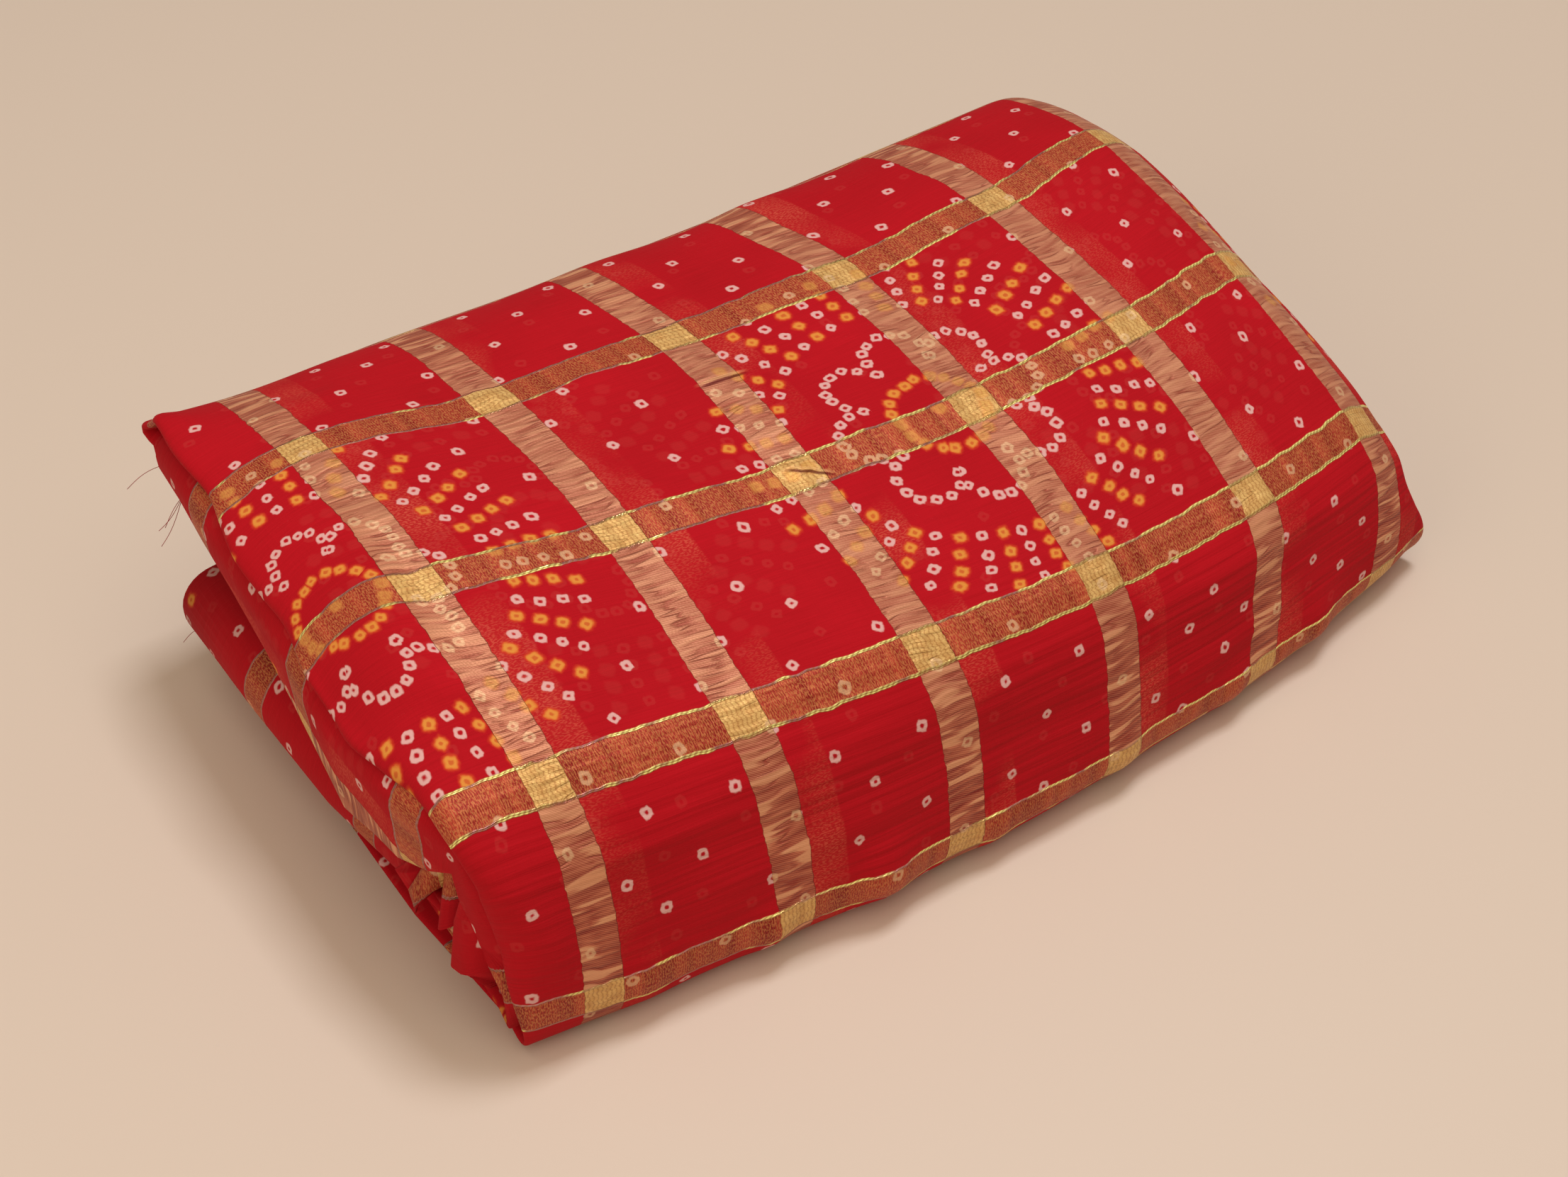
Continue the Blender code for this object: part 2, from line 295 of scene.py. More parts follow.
def strip_places():
    """The whole strip from its loose end under the bundle, back and forth to its inner end."""
    places = []
    for layer in range(FOLDS):
        upward = layer % 2 == 0
        girths = layer_girths(layer)
        places += [Place(layer, girth, layer + 0.5, 0.0) for girth in (girths[::-1] if upward else girths)]
        if layer == FOLDS - 1:
            break
        for step in range(1, TURN_STEPS):
            angle = math.pi * step / TURN_STEPS
            part = (1 - math.cos(angle)) / 2
            girth = BACK_FOLD if upward else BACK_FOOT
            places.append(Place(layer + part, girth, layer + 0.5 + part, 0.5 * math.sin(angle)))
    return places


def stations():
    """X of every station, and the share of its thickness that the sheet has there."""
    turns = [math.pi / 2 * step / LIP_STEPS for step in range(LIP_STEPS + 1)]
    lip = [LIP_RADIUS * (1 - math.cos(turn)) for turn in turns]
    shares = [max(math.sin(turn), LIP_THINNEST) for turn in turns]
    rolled = np.arange(LEFT_END + lip[-1] + ROLL_STEP, LEFT_END + ROLL_ZONE, ROLL_STEP)
    inner = np.arange(rolled[-1] + STATION_STEP, RIGHT_END - lip[-1] - STATION_STEP / 2, STATION_STEP)
    inner = np.concatenate([rolled, inner])
    x = [LEFT_END + step for step in lip] + list(inner) + [RIGHT_END - step for step in reversed(lip)]
    return np.array(x), np.array(shares + [1.0] * len(inner) + shares[::-1])


places = strip_places()
station_x, station_share = stations()
print(len(places), "places along the strip,", len(station_x), "stations")
print("about", 4 * len(places) * len(station_x), "triangles with both faces")

# %% [markdown]
# ## Where the weave lies on the folds
# The photographed bands aren't straight: the cloth was laid by hand, so a band wanders by a few
# millimetres. Two short tables say by how much, in millimetres. The sheet's UV map is counted in
# checks, so that every metallic band lies on a whole number, and arc length fills in what hangs over
# the ends.

# %% The wander of the bands
BAND_X = (-163.9, -98.4, -33.5, 38.2, 110.8, 179.8)
WANDER_X = (-200.0,) + BAND_X
AcrossBand = namedtuple("AcrossBand", "girth end one two three four five six")
ALONG_WANDER = (
    AcrossBand(-0.80, 2.0, 0.0, -2.4, -2.3, -5.8, -2.3, 0.0),
    AcrossBand(-0.50, 2.5, -0.5, -2.3, -1.6, -4.7, -1.9, 0.0),
    AcrossBand(0.00, 4.0, 0.0, -1.6, 1.2, -0.5, 1.2, 0.0),
    AcrossBand(0.50, 5.5, 0.5, -0.5, 1.6, 0.9, 1.4, 0.0),
    AcrossBand(1.00, 5.5, 0.0, 0.0, 0.5, 1.4, 3.3, 0.0),
    AcrossBand(1.50, 5.0, -0.2, -0.9, 0.2, 1.4, 2.8, 0.0),
    AcrossBand(2.00, 5.0, -0.7, -1.9, -0.5, -0.5, 1.2, 0.0),
    AcrossBand(2.50, 3.0, 0.5, 0.7, 2.3, -1.2, -2.3, 0.0),
    AcrossBand(2.90, 2.0, 0.0, 2.3, 1.9, -2.3, -5.8, -3.0),
)
ROUND_WANDER = (
    AcrossBand(-1.0, 0.0, 0.0, 0.0, 0.0, 0.0, 0.0, 0.0),
    AcrossBand(0.0, -8.0, -7.4, 0.0, 1.5, 4.5, 1.5, -7.4),
    AcrossBand(0.5, -13.0, -5.6, -0.7, 1.0, 2.8, 0.5, -6.7),
    AcrossBand(1.0, -18.0, -3.7, -1.3, 0.4, 1.0, -0.6, -6.0),
    AcrossBand(1.5, -8.0, -1.5, 0.0, 1.0, 1.5, 0.5, -3.0),
    AcrossBand(2.0, 0.0, 0.7, 1.2, 1.6, 1.9, 1.6, 0.0),
    AcrossBand(3.0, -5.0, -0.7, -0.7, 0.0, 0.0, 0.0, 0.0),
)
BAND_NAMES = AcrossBand._fields[1:]


def wander(table, girth, x):
    """How far the weave has wandered here, in metres, blended between the bands and girths."""
    columns = np.stack([smooth(table, "girth", girth, name) for name in BAND_NAMES])
    band = np.interp(x / MM, WANDER_X, range(len(WANDER_X)))
    low = np.clip(band.astype(int), 0, len(WANDER_X) - 2)
    part = band - low
    part = np.where(low == 0, part * part, part * part * (3 - 2 * part))
    near = np.take_along_axis(columns, low[None], 0)[0]
    far = np.take_along_axis(columns, low[None] + 1, 0)[0]
    return (near + (far - near) * part) * MM


print("columns of the weave at", BAND_X, "mm")

# %% [markdown]
# ## The sheet in place
# Each grid point is worked out from its place and station. At the left end the plies don't stop
# short: they roll over and hang. The outermost one curls over the rest, the next hangs a little
# lower behind it, and below the cleft one ply wraps down over all the ends of the lower half. A table
# says how far each goes; the plies that it leaves out stay a little behind.

# %% The rolled left end
# How far an end reaches, the radius it rolls over and how far it hangs, in millimetres, and the degrees
# that it turns.
Roll = namedtuple("Roll", "girth reach radius hang turn")
TUCKED_BACK, TUCKED_FOOT = Roll(-1.2, -6.0, 3.0, 0.0, 40.0), Roll(6.2, -6.0, 3.0, 0.0, 40.0)
HIDDEN = (TUCKED_BACK, TUCKED_FOOT)
LEFT_ROLLS = {
    0: (
        Roll(-1.2, 0.5, 5.0, 0.0, 28.0),
        Roll(-0.8, 0.0, 5.0, 0.0, 45.0),
        Roll(0.2, 3.0, 5.0, 0.0, 50.0),
        Roll(1.0, 3.0, 5.0, 1.0, 55.0),
        Roll(1.8, 0.0, 6.0, 1.0, 80.0),
        Roll(2.6, 1.0, 7.0, 1.0, 90.0),
        Roll(3.2, 0.0, 5.0, 0.0, 60.0),
        Roll(3.7, 0.0, 2.0, 0.0, 5.0),
        Roll(6.2, 0.0, 2.0, 0.0, 5.0),
    ),
    1: (
        Roll(-1.2, -2.0, 5.0, 3.0, 80.0),
        Roll(-0.7, 4.0, 8.0, 7.0, 95.0),
        Roll(-0.2, 2.0, 8.0, 9.0, 95.0),
        Roll(0.4, -2.0, 7.0, 18.0, 95.0),
        Roll(0.9, 0.0, 8.0, 24.0, 100.0),
        Roll(1.3, 1.0, 8.0, 25.0, 95.0),
        Roll(1.8, 1.5, 7.0, 24.0, 95.0),
        Roll(2.3, 1.0, 6.0, 16.0, 95.0),
        Roll(2.8, 1.0, 5.0, 6.0, 90.0),
        Roll(3.3, -4.0, 4.0, 2.0, 60.0),
        Roll(6.2, -6.0, 3.0, 0.0, 30.0),
    ),
    3: (
        TUCKED_BACK,
        Roll(0.3, -5.0, 4.0, 10.0, 90.0),
        Roll(1.0, -2.0, 5.0, 26.0, 95.0),
        Roll(1.6, -1.0, 5.0, 24.0, 95.0),
        Roll(2.2, -3.0, 4.0, 12.0, 90.0),
        Roll(2.6, 1.0, 4.0, 8.0, 90.0),
        Roll(2.95, 5.0, 4.0, 9.0, 90.0),
        Roll(3.3, -4.0, 3.0, 2.0, 50.0),
        TUCKED_FOOT,
    ),
    6: (
        TUCKED_BACK,
        Roll(1.9, -4.0, 3.0, 4.0, 70.0),
        Roll(2.35, 4.0, 4.0, 14.0, 90.0),
        Roll(2.6, 0.0, 4.0, 6.0, 90.0),
        Roll(2.9, 5.0, 4.0, 10.0, 90.0),
        Roll(3.15, 0.0, 4.0, 4.0, 70.0),
        Roll(3.5, -5.0, 3.0, 0.0, 40.0),
        TUCKED_FOOT,
    ),
    8: (
        TUCKED_BACK,
        Roll(2.3, -3.0, 3.0, 2.0, 60.0),
        Roll(2.65, 6.0, 5.0, 14.0, 90.0),
        Roll(2.95, 1.0, 5.0, 8.0, 90.0),
        Roll(3.3, 2.0, 8.0, 4.0, 100.0),
        Roll(3.8, -6.0, 3.0, 0.0, 40.0),
        TUCKED_FOOT,
    ),
    9: (
        TUCKED_BACK,
        Roll(2.2, -5.0, 3.0, 2.0, 60.0),
        Roll(2.7, 1.0, 6.0, 10.0, 90.0),
        Roll(3.1, 2.0, 10.0, 4.0, 120.0),
        Roll(3.7, 3.0, 12.0, 1.0, 140.0),
        Roll(4.1, 1.5, 11.0, 1.0, 145.0),
        Roll(4.5, 4.5, 13.0, 0.0, 150.0),
        Roll(4.9, 2.5, 12.0, 0.0, 150.0),
        Roll(5.4, 6.5, 13.5, 1.0, 155.0),
        Roll(5.75, 3.0, 10.0, 1.0, 150.0),
        Roll(6.2, 5.0, 11.0, 2.0, 150.0),
    ),
}

# The way an end hangs: straight down on the top, and inwards round the closed front.
Hang = namedtuple("Hang", "girth y z")
HANGING = (
    Hang(-1.2, 0.0, -1.0),
    Hang(1.8, 0.0, -1.0),
    Hang(2.5, 0.85, -0.5),
    Hang(2.9, 0.85, -0.5),
    Hang(3.4, 0.2, -1.0),
    Hang(6.2, 0.0, -1.0),
)
ROLL_THIN = 0.5
FLUTTER, FLUTTER_ROUND, FLUTTER_LAYER = 3.0 * MM, 2.6, 7.3


def roll_column(layer, girth, column):
    """A column of the rolls for every place, blended where a fold joins two layers."""
    tables = [LEFT_ROLLS.get(number, HIDDEN) for number in range(FOLDS)]
    rows = np.stack([smooth(table, "girth", girth, column) for table in tables])
    low = np.floor(layer).astype(int)
    part = layer - low
    near = np.take_along_axis(rows, low[None], 0)[0]
    far = np.take_along_axis(rows, np.minimum(low + 1, FOLDS - 1)[None], 0)[0]
    return near + (far - near) * part


def uneven(first, second):
    """Soft noise at many places of a plane, in the shape of the two arrays that give them."""
    spots = zip(np.ravel(first), np.ravel(second))
    return np.reshape([noise.noise(Vector((across, down, 0.0))) for across, down in spots], np.shape(first))


def rolled_end(layer, girth, station, left):
    """X of every point, how far it has dropped, and its place along the unrolled cloth."""
    reach, radius, hang, turn = (roll_column(layer, girth, column) for column in Roll._fields[1:])
    reach = left + reach * MM + FLUTTER * uneven(girth * FLUTTER_ROUND, layer * FLUTTER_LAYER)
    hang, radius = np.maximum(hang, 0.0) * MM, np.maximum(radius, 1.0) * MM
    turn = np.radians(np.maximum(turn, 1.0))
    first = np.minimum(turn, math.pi / 2)
    level = ROLL_ZONE + reach - radius * np.sin(first)
    hang = np.where(turn < math.pi / 2, 0.0, hang)
    whole = level + radius * turn + hang
    start = LEFT_END + ROLL_ZONE
    gone = whole * np.clip((start - station) / ROLL_ZONE, 0.0, 1.0)
    curl = np.clip(gone - level, 0.0, radius * first) / radius
    plumb = np.clip(gone - level - radius * first, 0.0, hang)
    tuck = np.maximum(gone - level - radius * first - hang, 0.0) / radius
    x = start - np.minimum(gone, level) - radius * np.sin(curl) + radius * (1 - np.cos(tuck))
    x = np.where(station < start, x, station)
    drop = radius * (1 - np.cos(curl)) + plumb + radius * np.sin(tuck)
    return x, drop, np.where(station < start, start - gone, station)


print("plies that roll or hang at the left end:", sorted(LEFT_ROLLS))

# %% [markdown]
# ## Creases and swelling
# Georgette creases softly where it was gripped and laid down, so no check of the real bundle is quite
# flat. The creases could be sculpted, or come from a cloth simulation. A short table keeps each one
# where it lies on the real cloth, and soft noise adds the swelling between them.

# %% Creases on the outermost ply
# The middle of each crease, the way that it runs in degrees, and its length, width and height in
# millimetres.
Crease = namedtuple("Crease", "x girth turn long wide high")
CREASES = (
    Crease(-170.0, 0.45, 20.0, 60.0, 15.0, 1.6),
    Crease(-152.0, -0.45, -8.0, 55.0, 12.0, 1.2),
    Crease(-100.0, -0.02, 35.0, 26.0, 8.0, 1.8),
    Crease(-66.0, 0.10, -12.0, 40.0, 9.0, 1.1),
    Crease(-120.0, 1.04, 8.0, 50.0, 9.0, 1.0),
    Crease(-31.0, 0.99, 30.0, 22.0, 6.0, 1.8),
    Crease(-33.0, 0.36, 0.0, 30.0, 6.0, 1.6),
    Crease(-50.0, 1.55, 10.0, 80.0, 16.0, 1.2),
    Crease(20.0, 2.02, -4.0, 90.0, 10.0, 1.0),
    Crease(40.0, 0.98, 6.0, 44.0, 9.0, 1.2),
    Crease(75.0, 1.52, -14.0, 70.0, 18.0, 1.5),
    Crease(95.0, -0.20, -20.0, 60.0, 16.0, 1.4),
    Crease(112.0, 2.08, 8.0, 50.0, 9.0, 1.3),
    Crease(150.0, 0.60, -30.0, 60.0, 16.0, 1.4),
    Crease(165.0, 1.95, 18.0, 40.0, 10.0, 1.4),
    Crease(-140.0, 2.35, 3.0, 90.0, 8.0, 1.2),
    Crease(-70.0, 2.62, -3.0, 110.0, 9.0, 1.2),
    Crease(10.0, 2.45, 4.0, 100.0, 8.0, 1.2),
    Crease(90.0, 2.70, -5.0, 90.0, 10.0, 1.3),
    Crease(-172.0, 1.45, 50.0, 50.0, 10.0, 1.6),
    Crease(-178.0, 2.60, 75.0, 60.0, 12.0, 1.6),
    Crease(-191.0, -0.82, 65.0, 46.0, 14.0, 2.6),
    Crease(-148.0, 2.98, 84.0, 44.0, 15.0, 1.8),
    Crease(-104.0, 3.04, 96.0, 36.0, 12.0, 2.6),
    Crease(-62.0, 3.00, 78.0, 46.0, 18.0, 3.4),
    Crease(-18.0, 3.06, 94.0, 34.0, 12.0, 1.8),
    Crease(38.0, 3.00, 86.0, 40.0, 16.0, 2.4),
    Crease(92.0, 3.02, 98.0, 38.0, 13.0, 1.9),
    Crease(138.0, 3.00, 80.0, 42.0, 15.0, 2.2),
)
SWELL_SIZE, SWELL_HIGH, SWELL_SPREAD = 42 * MM, 2.0 * MM, 0.35


def crease_height(x, girth):
    """How far the outermost ply stands out, by its listed creases and its own soft swelling."""
    height = np.zeros_like(x)
    for crease in CREASES:
        turn = math.radians(crease.turn)
        across, down = x / MM - crease.x, (girth - crease.girth) * CHECK_ROUND / MM
        run = across * math.cos(turn) + down * math.sin(turn)
        side = down * math.cos(turn) - across * math.sin(turn)
        ends = np.clip(1 - (2 * run / crease.long) ** 2, 0.0, 1.0) ** 2
        height += crease.high * MM * ends * np.exp(-((2 * side / crease.wide) ** 2))
    swell = uneven(x / SWELL_SIZE, girth * CHECK_ROUND / SWELL_SIZE)
    return height + SWELL_HIGH * np.clip(swell + SWELL_SPREAD, 0.0, 1.0)


print(len(CREASES), "creases")

# %% [markdown]
# ## The grid in place
# Here the folds, the rolled end and the creases are added up for every point of the grid. A cloth
# simulation could lay the plies on each other too, but it wouldn't come to rest on the solid's own
# folds, so each point is worked out instead.

# %% Placing the grid
EDGE_WAVE = 1.8 * MM
WAVE_ROUND, WAVE_LAYER = 2.3, 1.9
LEFT_WAVE_START, RIGHT_WAVE_START = 4.0, 5.0
CREASE_FADE_UNDER, CREASE_FADE_BACK = 0.5, 0.3
FLOOR_GAP = 0.2 * MM


def end_offset(layer, girth, side, wave_start):
    """How far this layer's end stands past the bundle's."""
    foot = np.clip((girth - FRONT_EDGE) / (UNDER_EDGE - FRONT_EDGE), 0.0, 1.0)
    top, low = layer_column(layer, side + "_top"), layer_column(layer, side + "_foot")
    wave = EDGE_WAVE * np.sin(girth * WAVE_ROUND + layer * WAVE_LAYER + wave_start)
    return top + (low - top) * foot + wave - smooth(ENDS, "girth", girth, side + "_in") * MM


def place_sheet():
    """XYZ of every grid point, its girth, its place along the cloth, and its layer's thickness."""
    layer, girth, level, reach = (np.array(column, float)[:, None] for column in zip(*places))
    station = station_x[None, :] + np.zeros_like(layer)
    left = end_offset(layer, girth, "left", LEFT_WAVE_START)
    right = end_offset(layer, girth, "right", RIGHT_WAVE_START)
    x, drop, run = rolled_end(layer, girth, station, left)
    x = x + right * fade(RIGHT_END - station, END_FADE)
    run = run + right * fade(RIGHT_END - station, END_FADE)
    shifted = girth - layer_column(layer, "back_top") / CHECK_ROUND * fade(girth - BACK_FOLD, BACK_FADE)
    shifted = shifted + layer_column(layer, "back_foot") / CHECK_ROUND * fade(BACK_FOOT - girth, BACK_FADE)
    shifted = shifted + np.zeros_like(x)
    open_cleft = OPEN_CLEFT * fade(station - LEFT_END, CLEFT_REACH)
    open_cleft = open_cleft * (fade(girth - BACK_FOLD, CLEFT_ROUND) + fade(BACK_FOOT - girth, CLEFT_ROUND))
    depth = (level - (1 - FILL) / 2) / FOLDS * (1 - CLEFT - open_cleft)
    y, z = cloth_point(shifted, depth, x)
    pitch = top_height(y, x) / 2 / FOLDS
    y = y + reach * pitch

    hang_y, hang_z = (smooth(HANGING, "girth", girth, name) for name in ("y", "z"))
    rolled = np.clip((LEFT_END + ROLL_ZONE - station) / ROLL_ZONE, 0.0, 1.0)
    body = pitch * FILL * (1 - ROLL_THIN * rolled**2)
    y, z = y + drop * hang_y, z + drop * hang_z
    outer = (layer[:, 0] == 0) & (girth[:, 0] < UNDER_EDGE)
    out_y, out_z = np.gradient(y[outer], axis=0), np.gradient(z[outer], axis=0)
    step = np.maximum(np.hypot(out_y, out_z), 1e-9)
    high = crease_height(run[outer], girth[outer] + np.zeros_like(run[outer]))
    high = high * np.clip((UNDER_EDGE - girth[outer]) / CREASE_FADE_UNDER, 0.0, 1.0)
    high = high * np.clip((girth[outer] - BACK_FOLD) / CREASE_FADE_BACK, 0.0, 1.0)
    y[outer] -= high * out_z / step
    z[outer] += high * out_y / step
    z = np.maximum(z, body / 2 + FLOOR_GAP)
    points = np.stack([x - MIDDLE.x, y - MIDDLE.y, z], axis=-1)
    return points, girth + np.zeros_like(x), run, body


points, girths, model_x, thickness = place_sheet()
print("sheet spans", np.round((points.reshape(-1, 3).max(0) - points.reshape(-1, 3).min(0)) / MM, 1), "mm")

# %% The weave's own coordinates
ARC_FROM_LEFT, ARC_FROM_RIGHT = -150 * MM, 150 * MM
# How far the weave of an inner ply has slipped towards the left end.
SLIPS = {3: 9 * MM, 6: -14 * MM, 8: 20 * MM, 9: 8 * MM}


def weave_map():
    """UV in checks for every grid point: whole numbers are the middles of the metallic bands."""
    step_along = np.linalg.norm(np.diff(points, axis=1), axis=2)
    extra = step_along - np.abs(np.diff(model_x, axis=1))
    from_left = np.where(model_x[:, 1:] < ARC_FROM_LEFT, extra, 0.0)
    from_right = np.where(model_x[:, :-1] > ARC_FROM_RIGHT, extra, 0.0)
    nothing = np.zeros((len(points), 1))
    left_extra = np.hstack([np.cumsum(from_left[:, ::-1], axis=1)[:, ::-1], nothing])
    right_extra = np.hstack([nothing, np.cumsum(from_right, axis=1)])
    bands = np.array(BAND_X) * MM
    along = np.interp(model_x, bands, np.arange(1, len(bands) + 1))
    along += (np.minimum(model_x - bands[0], 0.0) + np.maximum(model_x - bands[-1], 0.0)) / CHECK_ALONG
    along += (right_extra - left_extra) / CHECK_ALONG
    middle = points[:, points.shape[1] // 2]
    run = np.concatenate([[0.0], np.cumsum(np.linalg.norm(np.diff(middle, axis=0), axis=1))]) / CHECK_ROUND
    outer = sum(1 for place in places if place.layer == 0)
    on_outer = np.arange(len(places)) < outer
    round_strip = np.where(on_outer, girths[:, 0], BACK_FOLD - (run - run[outer - 1]))
    around = round_strip[:, None] + np.zeros_like(along)
    on_outer = on_outer[:, None]
    layer_slips = [SLIPS.get(number, 0.0) for number in range(FOLDS)]
    slip = np.interp([place.layer for place in places], range(FOLDS), layer_slips)[:, None]
    along = along - wander(ALONG_WANDER, girths, model_x) / CHECK_ALONG * on_outer
    along = along + slip / CHECK_ALONG
    around = around - wander(ROUND_WANDER, girths, model_x) / CHECK_ROUND * on_outer
    return along, around


along, around = weave_map()
print("weave runs from", np.round(around.min(), 2), "to", np.round(around.max(), 2), "checks round the strip")

# %% [markdown]
# ## The sheet as a mesh
# Each modelled layer stands for about three hair-thin plies pressed together. The grid is made flat
# and without thickness, and its points are then moved to their places. A Solidify modifier gives it
# its thickness, and a vertex group thins it at both ends, so that the edges are soft and round.


# %% The sheet as a mesh
def cloth_sheet():
    """The georgette as one grid, laid on its places, with its UV map and a weight for its thickness."""
    rows, columns = along.shape
    mesh = bmesh.new()
    bmesh.ops.create_grid(mesh, x_segments=columns - 1, y_segments=rows - 1, size=1.0)
    mesh.verts.ensure_lookup_table()
    for vertex, place in zip(mesh.verts, points.reshape(-1, 3)):
        vertex.co = place
    weave = mesh.loops.layers.uv.new("weave")
    flat_along, flat_around = along.reshape(-1), around.reshape(-1)
    for face in mesh.faces:
        for loop in face.loops:
            loop[weave].uv = (flat_along[loop.vert.index], flat_around[loop.vert.index])
    data = bpy.data.meshes.new("georgette_sheet")
    mesh.to_mesh(data)
    mesh.free()
    data.shade_smooth()
    sheet = bpy.data.objects.new("georgette_sheet", data)
    bpy.context.scene.collection.objects.link(sheet)
    body = sheet.vertex_groups.new(name="body")
    weights = (np.clip(thickness / FULL_THICKNESS, 0.0, 1.0) * station_share[None, :]).reshape(-1)
    for index, weight in enumerate(weights):
        body.add([index], float(weight), "REPLACE")
    solidify = sheet.modifiers.new("body", "SOLIDIFY")
    solidify.thickness = FULL_THICKNESS
    solidify.offset = 0.0
    solidify.vertex_group = "body"
    solidify.use_rim = True
    return sheet


georgette_sheet = cloth_sheet()
print(len(georgette_sheet.data.polygons), "faces before the thickness")

# %% [markdown]
# ## The finish
# Every pattern on this cloth is woven or dyed into it, so its finish is one material, painted by
# formulas in the weave's own coordinates. Some light and shade is painted into its colour too: the
# satin's lit top, its glints and its shaded crinkles, the lit parts of the cords and the two pinches.
# Sums on a socket wrapper add the Math nodes, which keeps the formulas readable. Lengths in the
# formulas are millimetres on the flat cloth.


# %% A socket that can be reckoned with
class Thread:
    """A number that varies over the cloth: one socket, whose sums add Math nodes."""

    def __init__(self, finish, socket):
        self.finish, self.socket = finish, socket

    def reckon(self, operation, *others):
        """A Math node of this operation, on this and the others."""
        return self.finish.node("ShaderNodeMath", {"operation": operation}, dict(enumerate((self, *others))))

    def __add__(self, other):
        return self.reckon("ADD", other)

    def __sub__(self, other):
        return self.reckon("SUBTRACT", other)

    def __mul__(self, other):
        return self.reckon("MULTIPLY", other)

    def __truediv__(self, other):
        return self.reckon("DIVIDE", other)

    def __rsub__(self, other):
        return self.finish.number(other).reckon("SUBTRACT", self)

    def __abs__(self):
        return self.reckon("ABSOLUTE")

    def __round__(self):
        return self.reckon("ROUND")

    __radd__, __rmul__ = __add__, __mul__

    def below(self, limit, soft):
        """1 where this is under the limit and 0 where it is over, with an edge of the given softness."""
        settings = {"interpolation_type": "SMOOTHSTEP"}
        values = {"Value": self - limit, "From Min": soft / 2, "From Max": -soft / 2, "To Min": 0.0}
        return self.finish.node("ShaderNodeMapRange", settings, {**values, "To Max": 1.0})

    def clipped(self, low=0.0, high=1.0):
        """This, held between two numbers."""
        return self.reckon("MAXIMUM", low).reckon("MINIMUM", high)


class Finish:
    """A material's nodes, made by one method."""

    def __init__(self, name):
        self.material = bpy.data.materials.new(name)
        self.material.use_nodes = True
        self.nodes = self.material.node_tree.nodes
        self.links = self.material.node_tree.links
        self.shader = self.nodes["Principled BSDF"]

    def set_input(self, socket, value):
        """Links the socket to a Thread, or gives it a fixed value."""
        if isinstance(value, Thread):
            self.links.new(value.socket, socket)
        else:
            socket.default_value = value

    def node(self, kind, settings=None, values=None, output=0):
        """A node of this kind, its settings made first, its sockets given values or links."""
        made = self.nodes.new(kind)
        for name, setting in (settings or {}).items():
            setattr(made, name, setting)
        for name, value in (values or {}).items():
            self.set_input(made.inputs[name], value)
        return Thread(self, made.outputs[output])

    def number(self, value):
        """A fixed number that can stand where a Thread does."""
        return self.node("ShaderNodeMath", {"operation": "ADD"}, {0: float(value), 1: 0.0})

    def vector(self, x, y):
        """A place on a plane."""
        return self.node("ShaderNodeCombineXYZ", None, {0: x, 1: y, 2: 0.0})

    def parts(self, vector):
        """X, Y and Z of a vector, from one node."""
        first = self.node("ShaderNodeSeparateXYZ", None, {0: vector})
        return [Thread(self, output) for output in first.socket.node.outputs]

    def noise(self, x, y, detail=0.0, output="Fac"):
        """Soft noise over a plane, whose lumps are about one unit wide."""
        settings = {"noise_dimensions": "2D"}
        values = {"Vector": self.vector(x, y), "Scale": 1.0, "Detail": detail, "Roughness": 0.55}
        return self.node("ShaderNodeTexNoise", settings, values, output)

    def mix(self, share, first, second):
        """Blends two colours, or a colour and a fixed one."""
        return self.node("ShaderNodeMix", {"data_type": "RGBA"}, {0: share, 6: first, 7: second}, 2)

    def choose(self, share, first, second):
        """Blends two vectors."""
        return self.node("ShaderNodeMix", {"data_type": "VECTOR"}, {0: share, 4: first, 5: second}, 1)


def colour(red, green, blue):
    """A linear colour from the three screen values, 0 to 255."""
    return tuple(((value / 255 + 0.055) / 1.055) ** 2.4 for value in (red, green, blue)) + (1.0,)


cloth = Finish("bandhani_georgette")
weave_count = cloth.parts(cloth.node("ShaderNodeUVMap", {"uv_map": "weave"}))
count_along, count_around = weave_count[0], weave_count[1]
CHECK_ALONG_MM, CHECK_ROUND_MM = CHECK_ALONG / MM, CHECK_ROUND / MM
run_along, run_around = count_along * CHECK_ALONG_MM, count_around * CHECK_ROUND_MM
print("the weave's coordinates are ready")

# %% [markdown]
# ## Tied rings
# Bandhani is tied point by point: each pinch of cloth is bound with thread, and the bound ring
# stays pale when the cloth is dyed, with a spot of dye in its middle. The field has single rings in
# staggered rows. Round each medallion's yellow middle stand a yellow ring, eight horseshoe petals and
# forty-eight spokes of four rings, white and yellow in turn. Each family is one formula that gives a
# point its place within the nearest ring, so all of them share one ring shape.

# %% The nearest ring
TURN = 2 * math.pi
MEDALLION_ALONG, MEDALLION_STEP, MEDALLION_SHIFT = 0.61, 3.226, 1.63
MEDALLION_AROUND, MEDALLION_ROW, MEDALLION_DRIFT = 0.95, 3.6, 0.01
MEDALLION_STRETCH = 1.08
RING_COUNT, RING_RADIUS = 20, 16.4
PETALS, PETAL_PLACE, PETAL_RADIUS, PETAL_OPENING = 8, 31.0, 9.0, 2.85
PETAL_STEP, PETAL_LAST = math.radians(31), 4
SPOKES, SPOKE_TURN = 48, math.radians(5.5)
SPOKE_FROM, SPOKE_STEP, SPOKE_LAST = 55.0, 7.15, 3
CENTRE_ZONE, RING_ZONE, PETAL_ZONE, SPOKE_ZONE, FIELD_FROM = 8.0, 23.5, 47.5, 82.0, 85.0
FIELD_ALONG, FIELD_AROUND = 32.5, 32.6
FIELD_START_ALONG, FIELD_START_AROUND = 16.0, 22.0
FIELD_JITTER, TIED_JITTER = 7.0, 1.3
